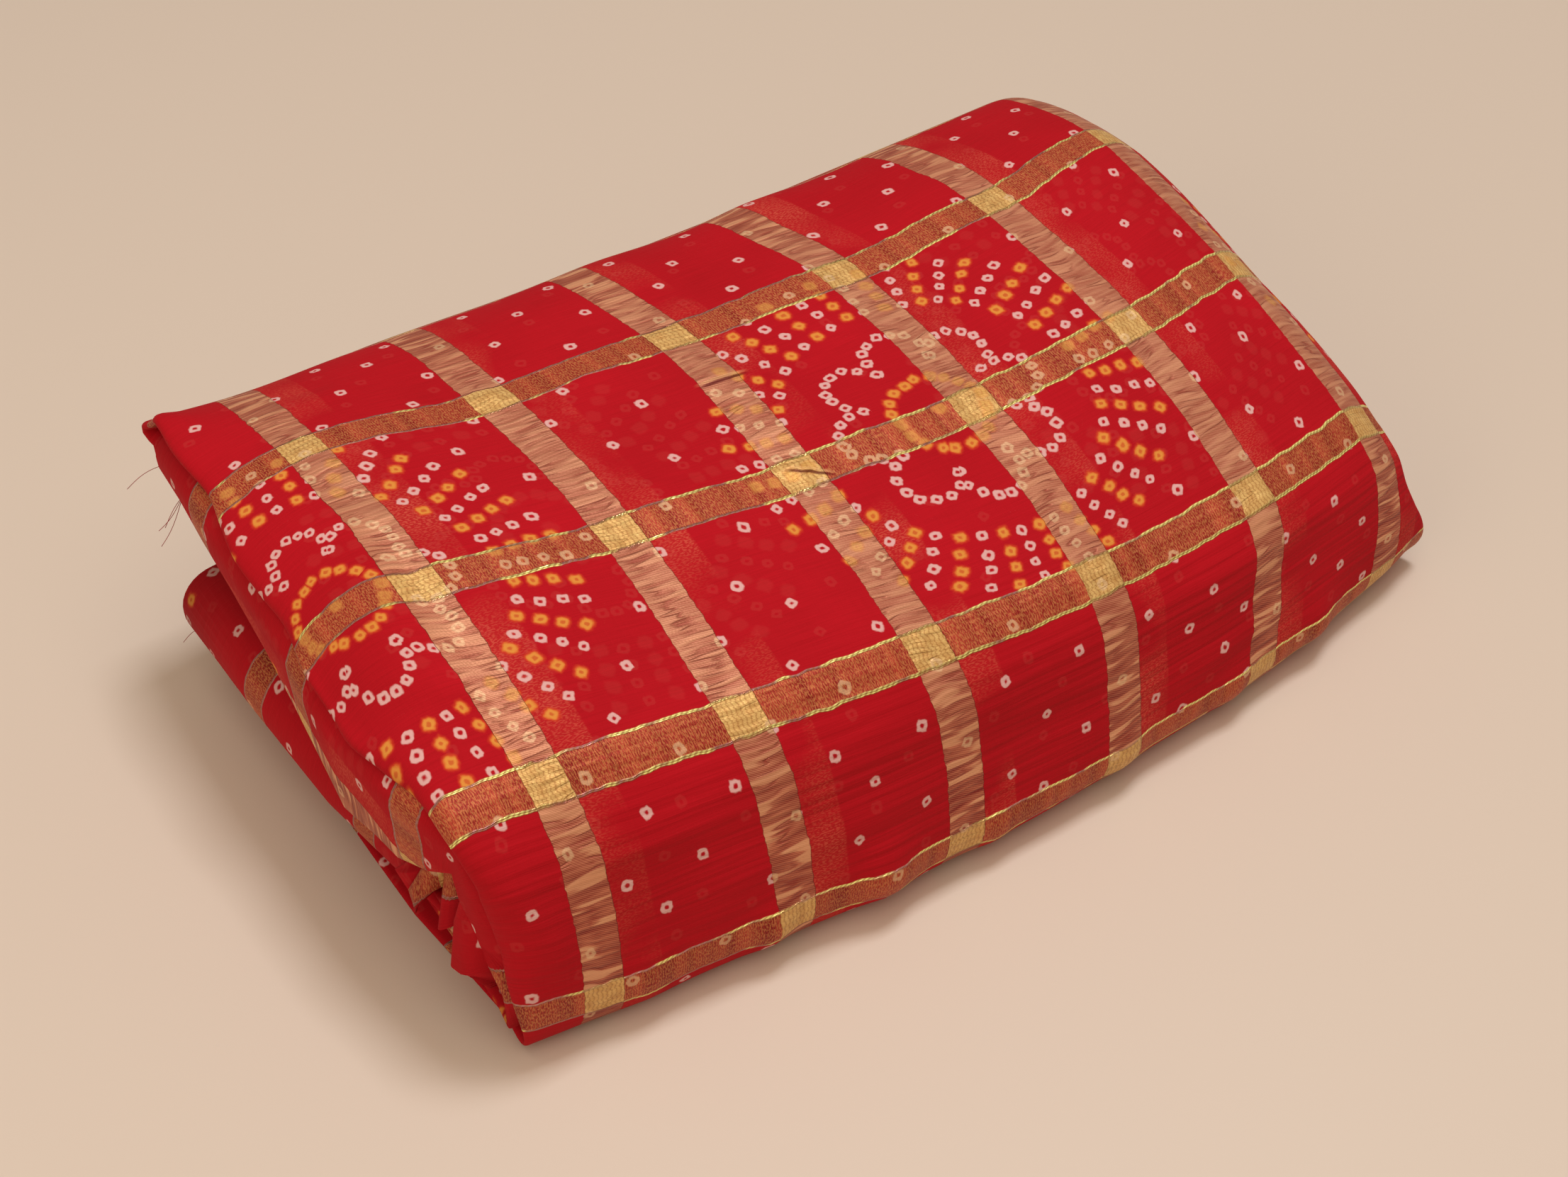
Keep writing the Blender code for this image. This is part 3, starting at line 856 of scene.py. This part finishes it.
HAND_WOBBLE, HAND_WOBBLE_SIZE = 3.4, 30.0
SHARP = 0.01


def nearest_ring(finish, along, around):
    """Place within the nearest tied ring, its random number, and shares of yellow and of being there."""
    mm_along, mm_around = along * CHECK_ALONG_MM, around * CHECK_ROUND_MM
    wobble_along, wobble_around = mm_along / HAND_WOBBLE_SIZE, mm_around / HAND_WOBBLE_SIZE
    wobble = finish.parts(finish.noise(wobble_along, wobble_around, output="Color"))
    row = round((around - MEDALLION_AROUND) / MEDALLION_ROW)
    odd = (row / 2).reckon("FRACT") * 2
    from_start = along - odd * MEDALLION_SHIFT - MEDALLION_ALONG
    column = round(from_start / MEDALLION_STEP)
    across = (from_start - column * MEDALLION_STEP) * CHECK_ALONG_MM + (wobble[0] - 0.5) * HAND_WOBBLE
    down = around - MEDALLION_AROUND - row * MEDALLION_ROW - column * MEDALLION_DRIFT
    down = down * CHECK_ROUND_MM * MEDALLION_STRETCH + (wobble[1] - 0.5) * HAND_WOBBLE
    radius = (across * across + down * down).reckon("SQRT")
    angle = down.reckon("ARCTAN2", across)

    # Place is where a point lies in its ring, and cell is the ring's own pair of numbers for chance. The
    # whole numbers in each family's cells keep the families apart.

    # the field of single rings, in staggered rows
    lean = (mm_along - FIELD_START_ALONG) / FIELD_ALONG
    rise = (mm_around - FIELD_START_AROUND) / FIELD_AROUND
    first, second = round(lean + rise), round(lean - rise)
    field_x = (lean - (first + second) / 2) * FIELD_ALONG
    field_y = (rise - (first - second) / 2) * FIELD_AROUND
    place, cell = finish.vector(field_x, field_y), finish.vector(first, second)
    clear_x, clear_y = across - field_x, down - field_y
    clear = (clear_x * clear_x + clear_y * clear_y).reckon("SQRT")
    in_spokes = radius.below(SPOKE_ZONE, SHARP)
    there = 1 - clear.below(FIELD_FROM, SHARP) * (1 - in_spokes)
    # the spokes
    spoke_turn = (angle - SPOKE_TURN) * (SPOKES / TURN)
    spoke = round(spoke_turn)
    step = round((radius - SPOKE_FROM) / SPOKE_STEP).clipped(0.0, float(SPOKE_LAST))
    spoke_x = radius - SPOKE_FROM - step * SPOKE_STEP
    spoke_y = (spoke_turn - spoke) * (TURN / SPOKES) * radius
    place = finish.choose(in_spokes, place, finish.vector(spoke_x, spoke_y))
    cell = finish.choose(in_spokes, cell, finish.vector(spoke + 200, step + row * 7))
    yellow = in_spokes * ((spoke / 2).reckon("FRACT") * 2)
    # the petals
    petal = round(angle / (TURN / PETALS))
    turned = angle - petal * (TURN / PETALS)
    petal_x, petal_y = radius * turned.reckon("COSINE"), radius * turned.reckon("SINE")
    bend = round(petal_y.reckon("ARCTAN2", petal_x - PETAL_PLACE) / PETAL_STEP)
    bend = bend.clipped(-float(PETAL_LAST), float(PETAL_LAST))
    reach = PETAL_RADIUS + bend * bend * (PETAL_OPENING / PETAL_LAST**2)
    petal_x = petal_x - PETAL_PLACE - reach * (bend * PETAL_STEP).reckon("COSINE")
    petal_y = petal_y - reach * (bend * PETAL_STEP).reckon("SINE")
    in_petals = radius.below(PETAL_ZONE, SHARP)
    place = finish.choose(in_petals, place, finish.vector(petal_x, petal_y))
    cell = finish.choose(in_petals, cell, finish.vector(petal * 9 + bend, row + 400))
    yellow = yellow * (1 - in_petals)
    # the yellow ring and its middle
    ring_turn = angle * (RING_COUNT / TURN)
    link = round(ring_turn)
    ring_y = (ring_turn - link) * (TURN / RING_COUNT) * radius
    in_ring = radius.below(RING_ZONE, SHARP)
    place = finish.choose(in_ring, place, finish.vector(radius - RING_RADIUS, ring_y))
    cell = finish.choose(in_ring, cell, finish.vector(link + 600, row))
    in_centre = radius.below(CENTRE_ZONE, SHARP)
    place = finish.choose(in_centre, place, finish.vector(across, down))
    cell = finish.choose(in_centre, cell, finish.vector(900.0, row))
    yellow = (yellow + in_ring).clipped()
    # each ring's own slip, turn and size
    settings = {"noise_dimensions": "2D"}
    chance = finish.parts(finish.node("ShaderNodeTexWhiteNoise", settings, {"Vector": cell}, "Color"))
    slip = in_spokes * (TIED_JITTER - FIELD_JITTER) + FIELD_JITTER
    x, y, _ = finish.parts(place)
    x, y = x + (chance[0] - 0.5) * slip, y + (chance[1] - 0.5) * slip
    return x, y, chance[2], yellow, there


# %% The ring's own shape
RING_TURN = 1.1
WHITE_SIZE, WHITE_SOFT = 1.95, 0.6
YELLOW_SIZE, YELLOW_SOFT = 2.5, 1.5
YELLOW_HEART, YELLOW_HEART_SOFT = 1.9, 1.2
HOLE_SIZE, HOLE_SOFT = 0.70, 0.65
SQUARENESS, SIZE_SPREAD = 0.45, 0.3
BLEED, BLEED_SIZE = 0.6, 1.4


def tied_ring(finish, along, around):
    """Shares of white resist, of yellow, of yellow away from its rim, and of its middle."""
    x, y, chance, yellow, there = nearest_ring(finish, along, around)
    spin = (chance - 0.5) * RING_TURN
    cosine, sine = spin.reckon("COSINE"), spin.reckon("SINE")
    turned_x, turned_y = abs(x * cosine - y * sine), abs(x * sine + y * cosine)
    round_size = (turned_x * turned_x + turned_y * turned_y).reckon("SQRT")
    square_size = turned_x.reckon("MAXIMUM", turned_y)
    bleed = finish.noise(along * (CHECK_ALONG_MM / BLEED_SIZE), around * (CHECK_ROUND_MM / BLEED_SIZE))
    size = square_size * SQUARENESS + round_size * (1 - SQUARENESS) + (bleed - 0.5) * BLEED
    size = size + (chance - 0.5) * SIZE_SPREAD
    hole = size.below(HOLE_SIZE, HOLE_SOFT)
    white = size.below(WHITE_SIZE, WHITE_SOFT) * (1 - hole) * (1 - yellow) * there
    gold = size.below(YELLOW_SIZE, YELLOW_SOFT) * yellow * there
    return white, gold, size.below(YELLOW_HEART, YELLOW_HEART_SOFT), hole


white, gold, gold_heart, gold_middle = tied_ring(cloth, count_along, count_around)
print("tied rings:", len(cloth.nodes), "nodes so far")

# %% [markdown]
# ## The woven check
# Broad satin bands of copper thread run round the bundle, with crinkles across them and edges nibbled
# by the twill. Narrower bands run along it, ribbed, flecked with gold and edged by two bright twisted
# cords. Where the two cross, the gold lies closest. The ply below shows through the sheer ground
# as a faint second band beside each satin one, and as ghosts of its rings. Two sharp pinches on the
# top are finer than the sheet's grid, so each is painted as a lit lip and the shade beside it.

# %% Bands, cords and crossings
SATIN_HALF, RIBBED_HALF, CORD_HALF = 7.4, 6.2, 0.5
satin_from = ((count_along + 0.5).reckon("FRACT") - 0.5) * CHECK_ALONG_MM
ribbed_from = ((count_around + 0.5).reckon("FRACT") - 0.5) * CHECK_ROUND_MM
satin_number, ribbed_number = round(count_along), round(count_around)
crinkle_bend = (cloth.noise(run_along * 0.06 + satin_number * 7.7, run_around * 0.05) - 0.5) * 3.0
crinkle = cloth.noise((run_around + crinkle_bend) * 0.30, run_along * 0.04 + satin_number * 3.7, 1.0)
pucker = cloth.noise((run_around + crinkle_bend) * 0.85, run_along * 0.08 + satin_number * 2.1)
nibble = cloth.noise(run_around * 0.35, satin_number * 3.3 + satin_from.reckon("SIGN"), 1.0)
satin = abs(satin_from).below(SATIN_HALF - 0.5 + nibble * 1.0, 0.3)
ribbed_side = ribbed_from.reckon("SIGN")
ribbed_sway = (cloth.noise(run_along * 0.12, ribbed_number * 5.1 + ribbed_side * 0.4, 1.0) - 0.5) * 1.6
ribbed = abs(ribbed_from).below(ribbed_sway + RIBBED_HALF, 0.3)
cord_from = abs(abs(ribbed_from) - ribbed_sway - RIBBED_HALF)
crossing = satin * ribbed
ribbed_only = ribbed * (1 - satin)
# Where the satin has thin crease valleys. Their shade is painted into the colour below, and the bump sinks
# them too.
crease_share = cloth.noise(run_along * 0.14, run_around * 0.09 + satin_number * 5.0)
valley = abs(crinkle - 0.5).below(0.028, 0.045) * (crease_share * 2.6 - 0.8).clipped()
print("bands:", len(cloth.nodes), "nodes so far")

# %% [markdown]
# ## The colours, one over the other
# The ground is dyed crimson, a little uneven where a thread is thicker or took less dye. Over it go the
# ghost of the ply below, the bands, their crossings, the tied rings and the cords, each by a Mix node
# whose factor is that part's share. An image could hold all this, but formulas stay sharp from near
# and follow the folds by themselves.

# %% The dyed ground
slub = cloth.noise(run_along * 0.06, run_around * 2.0, 1.0)
streak = cloth.noise(run_along * 1.9, run_around * 0.05, 1.0)
patch = cloth.noise(run_along * 0.02, run_around * 0.02, 1.0)
ground_tone = (slub * 0.45 + streak * 0.15 + patch * 0.4).clipped()
ground = cloth.mix(ground_tone, colour(158, 6, 16), colour(196, 14, 30))

# %% The ghost of the ply below
GHOST_ALONG, GHOST_AROUND, GHOST_BAND = 1.12, 0.08, 0.195
ghost_white, ghost_gold, _, _ = tied_ring(cloth, count_along - GHOST_ALONG, count_around + GHOST_AROUND)
ghost_from = ((count_along - GHOST_BAND + 0.5).reckon("FRACT") - 0.5) * CHECK_ALONG_MM
glitter = 1 - cloth.noise(run_along * 0.8, run_around * 2.4).below(0.55, 0.12)
ghost_patch = cloth.noise(run_along * 0.03, run_around * 0.03, 1.0)
ghost_share = abs(ghost_from).below(SATIN_HALF - 0.5, 1.2) * (ghost_patch * 2.4 - 0.9).clipped()
ground = cloth.mix(ghost_share * (glitter * 0.45 + 0.10), ground, colour(214, 96, 72))
ground = cloth.mix((ghost_white + ghost_gold * 0.7) * 0.055, ground, colour(226, 120, 104))

# %% The colours of the bands
twill = ((run_along * 0.7 - run_around) * (TURN / 0.9)).reckon("SINE") * 0.5 + 0.5
# Painted light: the satin is painted lighter on the top, from about -0.5 to 2.2 checks round, and darker at
# the back and on the front, where it catches less light. Its crinkles and puckers are painted as shade and
# highlight over the twill, more strongly away from the lit top.
satin_lit = abs(count_around - 0.85).below(1.35, 1.0)
satin_shading_and_twill = (crinkle - 0.5) * (1.5 - satin_lit * 0.8) + (pucker - 0.5) * 0.7 + 0.60
satin_shading_and_twill = (satin_shading_and_twill + (twill - 0.5) * 0.4).clipped()
# Each end of the painted shading has a shaded copy for the back and front and a lit copy for the top.
satin_dark = cloth.mix(satin_lit, colour(130, 40, 34), colour(158, 72, 54))
satin_light = cloth.mix(satin_lit, colour(202, 118, 86), colour(210, 142, 108))
satin_colour = cloth.mix(satin_shading_and_twill, satin_dark, satin_light)
# Painted highlight: bright glints along the crinkles, mostly on the satin at the back and on the front.
glint = (1 - crinkle.below(0.60, 0.09)) * (1 - satin_lit * 0.75)
satin_colour = cloth.mix(glint * 0.75, satin_colour, colour(228, 166, 122))
# Painted shade in the thin crease valleys across the satin.
satin_colour = cloth.mix(valley * 0.55, satin_colour, colour(140, 40, 34))
rib = ((run_along + (pucker - 0.5) * 0.5) * (TURN / 0.9)).reckon("SINE") * 0.5 + 0.5
gather = cloth.noise(run_along * 0.16, ribbed_number * 9.1, 1.0)
fleck = 1 - cloth.noise(run_along * 2.4, run_around * 0.8, 1.0).below(0.52, 0.14)
ribbed_tone = (rib * 0.55 + (gather - 0.5) * 1.5 + 0.22).clipped()
ribbed_colour = cloth.mix(ribbed_tone, colour(132, 26, 24), colour(186, 72, 50))
ribbed_colour = cloth.mix(fleck * 0.34, ribbed_colour, colour(232, 164, 94))
ridge_wave = (run_around * (TURN / 3.6)).reckon("SINE") * 1.1
ridge = (run_along * (TURN / 1.7) + ridge_wave + (slub - 0.5) * 5.0).reckon("SINE") * 0.5 + 0.5
crossing_tone = cloth.noise(run_along * 0.3, run_around * 0.3, 1.0)
crossing_colour = cloth.mix(crossing_tone, colour(198, 142, 78), colour(240, 198, 124))
crossing_colour = cloth.mix(ridge.below(0.22, 0.35) * 0.5, crossing_colour, colour(160, 98, 48))
twist = ((run_along + ribbed_from * 1.4) * (TURN / 2.1)).reckon("SINE") * 0.5 + 0.5
# Painted highlight: a cord is painted bright yellow where it catches the light and violet-grey elsewhere,
# more so towards the right end and near 1.9 checks round. Its lit parts are drawn a little wider too.
lit = cloth.noise(run_along * 0.08, ribbed_number * 4.4 + ribbed_side * 1.3, 1.0) + (count_along - 3.0) * 0.05
lit = 1 - (lit - abs(count_around - 1.9) * 0.09).below(0.37, 0.14)
cord = cord_from.below(CORD_HALF * 0.8 + lit * 0.12, 0.35)
cord_colour = cloth.mix(lit, colour(190, 128, 122), colour(255, 242, 146))
cord_colour = cloth.mix(twist.below(0.45, 0.4) * 0.6, cord_colour, colour(176, 112, 62))

# %% One over the other
paint = cloth.mix(satin, ground, satin_colour)
paint = cloth.mix(ribbed_only, paint, ribbed_colour)
paint = cloth.mix(crossing, paint, crossing_colour)
on_band = (satin + ribbed).clipped()
white_colour = cloth.mix(on_band, colour(224, 176, 168), colour(236, 196, 150))
gold_colour = cloth.mix(gold_heart, colour(206, 66, 30), colour(222, 144, 60))
gold_colour = cloth.mix(gold_middle * 0.7, gold_colour, colour(196, 72, 32))
gold_colour = cloth.mix(on_band * 0.5, gold_colour, colour(236, 184, 96))
paint = cloth.mix(white * (0.90 - on_band * 0.38), paint, white_colour)
paint = cloth.mix(gold * (0.94 - on_band * 0.44), paint, gold_colour)
paint = cloth.mix(cord * (1 - satin * 0.6), paint, cord_colour)
print("colours:", len(cloth.nodes), "nodes in all")

# %% Two sharp pinches
# Each one's place in checks, its turn in degrees and its length in millimetres.
Pinch = namedtuple("Pinch", "along around turn long")
PINCHES = (Pinch(3.02, 0.37, 0.0, 20.0), Pinch(3.05, 1.01, 30.0, 17.0))
LIP_SIDE, LIP_HALF, SHADE_SIDE, SHADE_HALF = 0.8, 0.5, 0.3, 0.5
lips = shades = 0.0
for pinch in PINCHES:
    turn = math.radians(pinch.turn)
    off_along = run_along - pinch.along * CHECK_ALONG_MM
    off_around = run_around - pinch.around * CHECK_ROUND_MM
    pinch_run = off_along * math.cos(turn) + off_around * math.sin(turn)
    pinch_side = off_around * math.cos(turn) - off_along * math.sin(turn)
    reach = abs(pinch_run).below(pinch.long * 0.42, pinch.long * 0.3)
    lips = reach * abs(pinch_side + LIP_SIDE).below(LIP_HALF, 0.6) + lips
    shades = reach * abs(pinch_side - SHADE_SIDE).below(SHADE_HALF, 0.6) + shades
paint = cloth.mix(lips * 0.35, paint, colour(240, 190, 130))
paint = cloth.mix(shades * 0.85, paint, colour(96, 18, 14))
print(len(PINCHES), "pinches")

# %% [markdown]
# ## Sheen and relief
# Metallic thread shines and dyed crepe doesn't, so the bands and cords are smoother and a little
# metallic. The crinkles, cords and slubs are far finer than the grid, so a Bump node raises them.

# %% Sheen, roughness and relief
metal = (satin * 0.22 + ribbed_only * 0.22 + cord * 0.3).clipped()
rough = 0.85 - satin * 0.38 - ribbed_only * 0.30 - cord * 0.3
on_front = (abs(count_around - 2.35) - 0.3).below(0.3, 0.5)
long_crease = cloth.noise(run_along * 0.010, run_around * 0.30, 1.0) * (on_front * 0.8 + 0.1)
relief = (crinkle * 0.5 + pucker * 0.3 - valley * 0.25 + twill * 0.04) * satin
relief = relief + cord * 0.3 + long_crease * 0.8 + gather * ribbed * 0.9 + slub * 0.08
cloth.set_input(cloth.shader.inputs["Base Color"], paint)
cloth.set_input(cloth.shader.inputs["Metallic"], metal)
cloth.set_input(cloth.shader.inputs["Roughness"], rough.clipped(0.25, 0.9))
bump = cloth.node("ShaderNodeBump", None, {"Strength": 1.0, "Distance": MM, "Height": relief})
cloth.set_input(cloth.shader.inputs["Normal"], bump)
cloth.shader.inputs["Specular IOR Level"].default_value = 0.15
georgette_sheet.data.materials.append(cloth.material)
print("finish:", len(cloth.nodes), "nodes")

# %% [markdown]
# ## The loose ends
# A few warp threads have frayed out of the plies at the back of the left end. Each is a thin tube from
# the sheet's own edge, made of circles that are bridged one to the next.

# %% Loose warp threads
# The layer and girth where each one starts, and how far its tip lies from there, with its sag, in
# millimetres.
Loose = namedtuple("Loose", "layer girth along across up sag")
LOOSE_ENDS = (
    Loose(1, -0.85, -12.0, 5.0, -8.0, 1.5),
    Loose(1, -0.60, -12.0, -4.0, -13.0, -2.0),
    Loose(1, -0.50, -11.0, -2.0, -8.0, -1.5),
    Loose(1, -0.42, -9.0, -3.0, -7.0, 1.0),
    Loose(9, 6.00, -7.0, 1.0, -4.0, 1.0),
)
LOOSE_RADIUS, LOOSE_SIDES, LOOSE_POINTS, LOOSE_FROM = 0.11 * MM, 5, 9, 5


def loose_threads():
    """All the frayed threads as one mesh."""
    mesh = bmesh.new()
    for loose in LOOSE_ENDS:
        apart = [(abs(place.layer - loose.layer), abs(place.girth - loose.girth)) for place in places]
        row = apart.index(min(apart))
        start, offset = Vector(points[row, LOOSE_FROM]), Vector((loose.along, loose.across, loose.up)) * MM
        shares = [step / (LOOSE_POINTS - 1) for step in range(LOOSE_POINTS)]
        bows = [Vector((0, 0, loose.sag * MM * math.sin(math.pi * share))) for share in shares]
        path = [start + offset * share + bow for share, bow in zip(shares, bows)]
        rings = []
        for index, point in enumerate(path):
            run = path[min(index + 1, LOOSE_POINTS - 1)] - path[max(index - 1, 0)]
            facing = Matrix.Translation(point) @ run.to_track_quat("Z", "Y").to_matrix().to_4x4()
            ends = index in (0, LOOSE_POINTS - 1)
            made = bmesh.ops.create_circle(
                mesh, cap_ends=ends, segments=LOOSE_SIDES, radius=LOOSE_RADIUS, matrix=facing
            )
            rings.append({edge for vert in made["verts"] for edge in vert.link_edges})
        for first, second in zip(rings, rings[1:]):
            bmesh.ops.bridge_loops(mesh, edges=list(first | second))
    bmesh.ops.recalc_face_normals(mesh, faces=mesh.faces)
    data = bpy.data.meshes.new("loose_threads")
    mesh.to_mesh(data)
    mesh.free()
    data.shade_smooth()
    threads = bpy.data.objects.new("loose_threads", data)
    bpy.context.scene.collection.objects.link(threads)
    fibre = Finish("loose_fibre")
    fibre.shader.inputs["Base Color"].default_value = colour(150, 40, 40)
    fibre.shader.inputs["Roughness"].default_value = 0.6
    data.materials.append(fibre.material)
    return threads


threads = loose_threads()
print(len(threads.data.polygons), "faces in the loose threads")

# %% [markdown]
# ## The floor and the light
# The floor is only a stage, so it isn't part of the object. The light is soft and comes from above and
# a little from the left, with one smaller lamp that draws the shadow to the side. Square area lights
# soften a shadow by their size, and a dim warm world fills in the rest.

# %% The floor and the light
FLOOR_HALF = 3.0
PAPER_COLOUR = (0.684, 0.556, 0.443, 1.0)
ROOM_COLOUR, ROOM_STRENGTH = (1.0, 0.80, 0.60, 1.0), 0.25

floor_mesh = bmesh.new()
bmesh.ops.create_grid(floor_mesh, x_segments=1, y_segments=1, size=FLOOR_HALF)
floor_data = bpy.data.meshes.new("floor")
floor_mesh.to_mesh(floor_data)
floor_mesh.free()
floor = bpy.data.objects.new("floor", floor_data)
bpy.context.scene.collection.objects.link(floor)
paper = bpy.data.materials.new("pale_paper")
paper.use_nodes = True
paper.node_tree.nodes["Principled BSDF"].inputs["Base Color"].default_value = PAPER_COLOUR
floor.data.materials.append(paper)
floor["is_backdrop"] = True

world = bpy.data.worlds.new("studio")
world.use_nodes = True
world.node_tree.nodes["Background"].inputs["Color"].default_value = ROOM_COLOUR
world.node_tree.nodes["Background"].inputs["Strength"].default_value = ROOM_STRENGTH
bpy.context.scene.world = world
bpy.context.scene.view_settings.view_transform = "Standard"


def add_softbox(name, place, aim, size, power, tint):
    """A square area light at a place, facing a point."""
    light = bpy.data.lights.new(name, "AREA")
    light.energy = power
    light.size = size
    light.color = tint
    lamp = bpy.data.objects.new(name, light)
    lamp.location = place
    lamp.rotation_euler = (Vector(aim) - Vector(place)).to_track_quat("-Z", "Y").to_euler()
    bpy.context.scene.collection.objects.link(lamp)


add_softbox("ceiling", (-0.3, -0.8, 2.7), (0.0, 0.0, 0.0), 2.4, 33.5, (1.0, 0.93, 0.83))
add_softbox("side", (-1.5, -0.4, 0.9), (0.0, 0.0, 0.05), 1.2, 6.5, (1.0, 0.90, 0.78))
add_softbox("lamp", (0.6, 0.0, 3.3), (0.0, 0.0, 0.0), 0.7, 47.0, (0.93, 0.98, 1.08))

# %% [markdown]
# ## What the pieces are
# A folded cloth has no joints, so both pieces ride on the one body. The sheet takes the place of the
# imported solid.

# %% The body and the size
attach(georgette_sheet, "root")
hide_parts("folded_cloth")
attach(threads, "root")
dressed_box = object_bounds()
{"cad": [list(corner) for corner in cad_box], "visual": [list(corner) for corner in dressed_box]}
print("dressed box", [[round(value / MM, 1) for value in corner] for corner in dressed_box])
